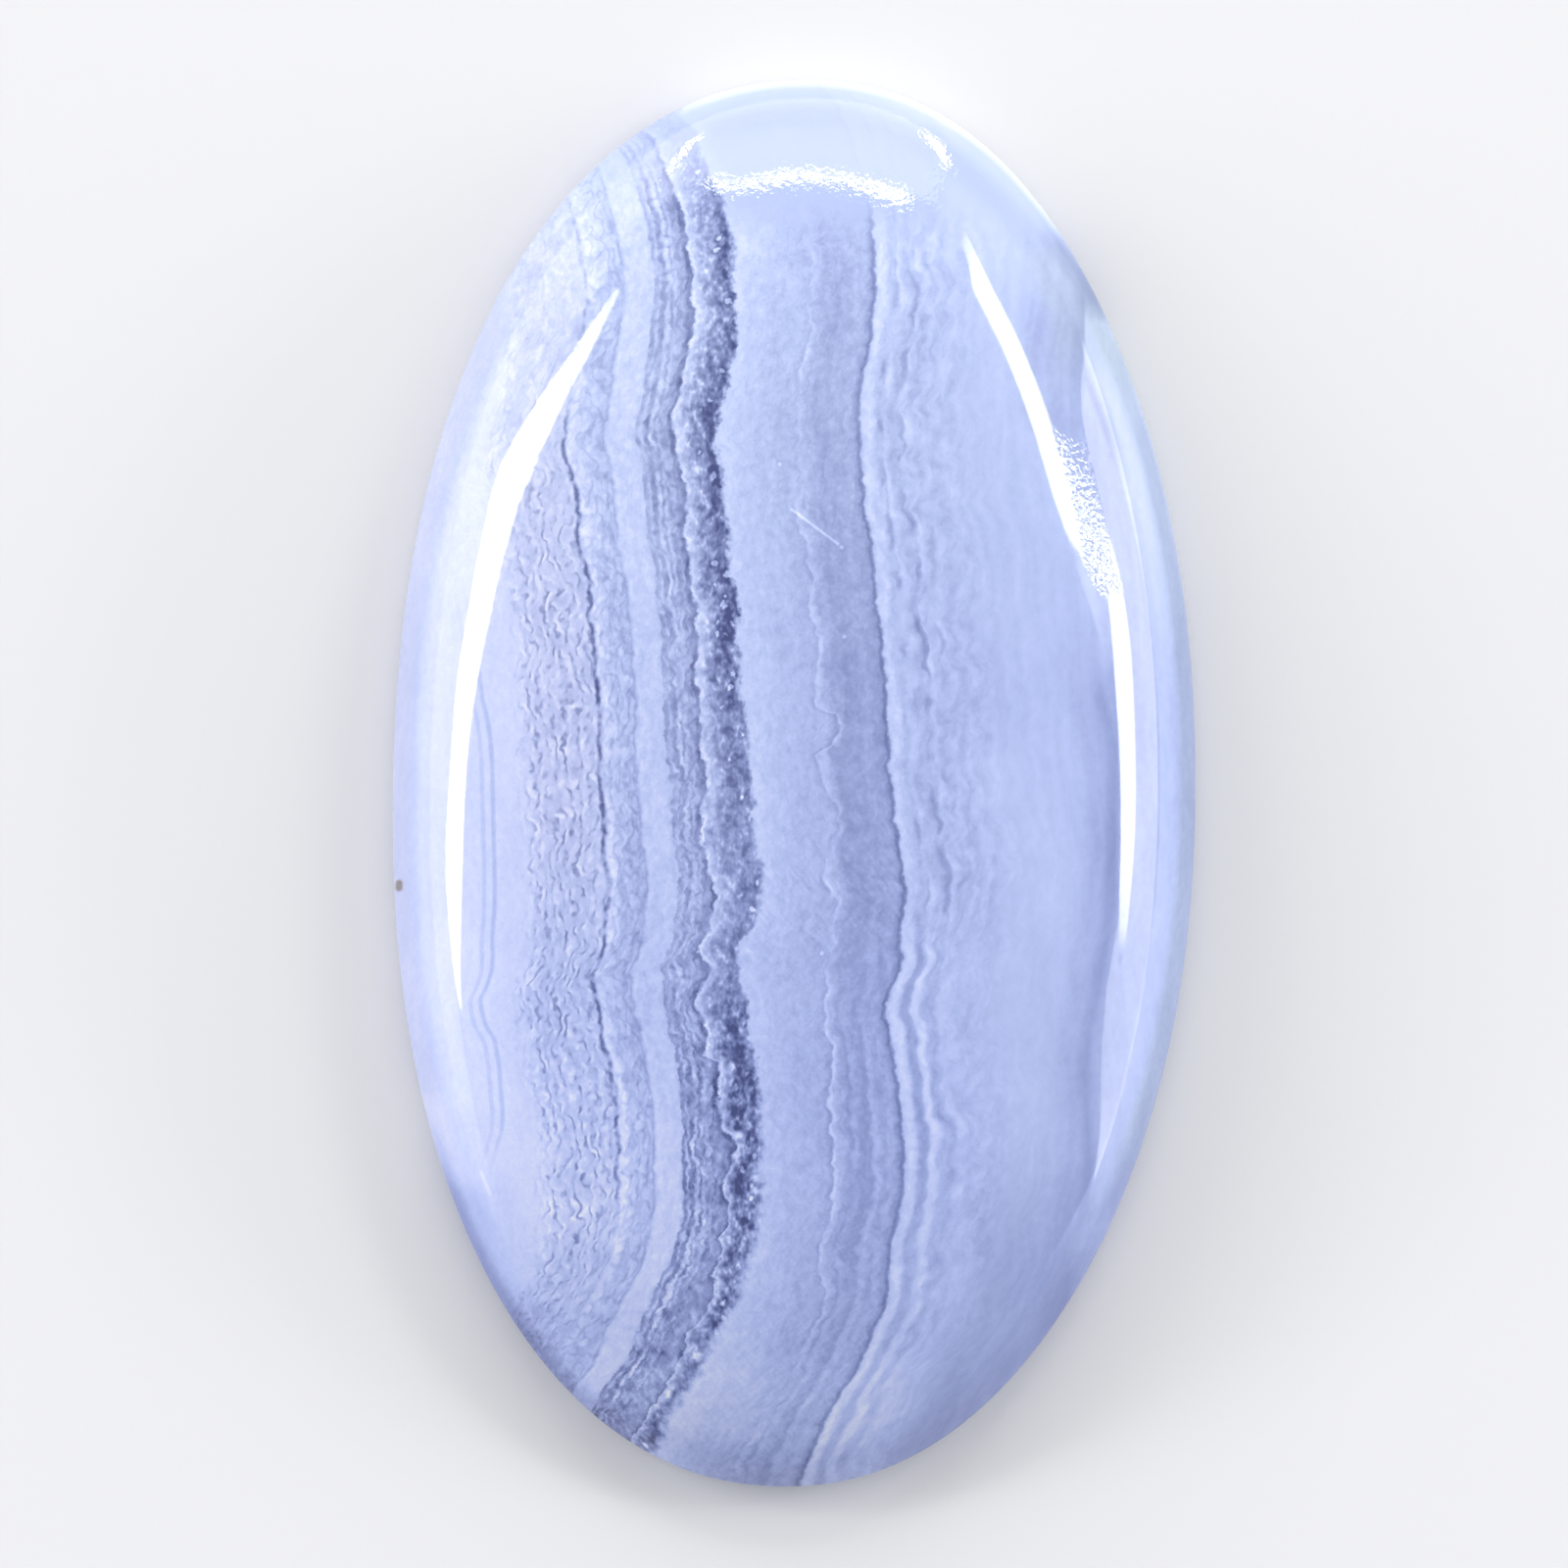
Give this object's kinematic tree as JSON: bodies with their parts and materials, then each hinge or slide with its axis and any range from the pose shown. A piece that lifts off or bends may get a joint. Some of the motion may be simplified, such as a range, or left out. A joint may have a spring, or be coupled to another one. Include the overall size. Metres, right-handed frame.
{
  "type": "blue lace agate cabochon",
  "caption": "Long oval cabochon of blue lace agate with a flat back, a low vertical girdle and an even polished dome, banded in pale blue, white and dark slate.",
  "frame": {"origin": "centre of the flat back, on the surface that the stone lies on", "axes": "+Y along the stone's long axis, towards the end that the picture shows at the top; +X across it, to the right as seen from the dome's side; +Z out of the flat back, up through the dome"},
  "size_m": [0.0274, 0.048, 0.007],
  "materials": {
    "agate": "polished"
  },
  "bodies": {
    "root": {"cabochon": "agate"}
  },
  "joints": []
}
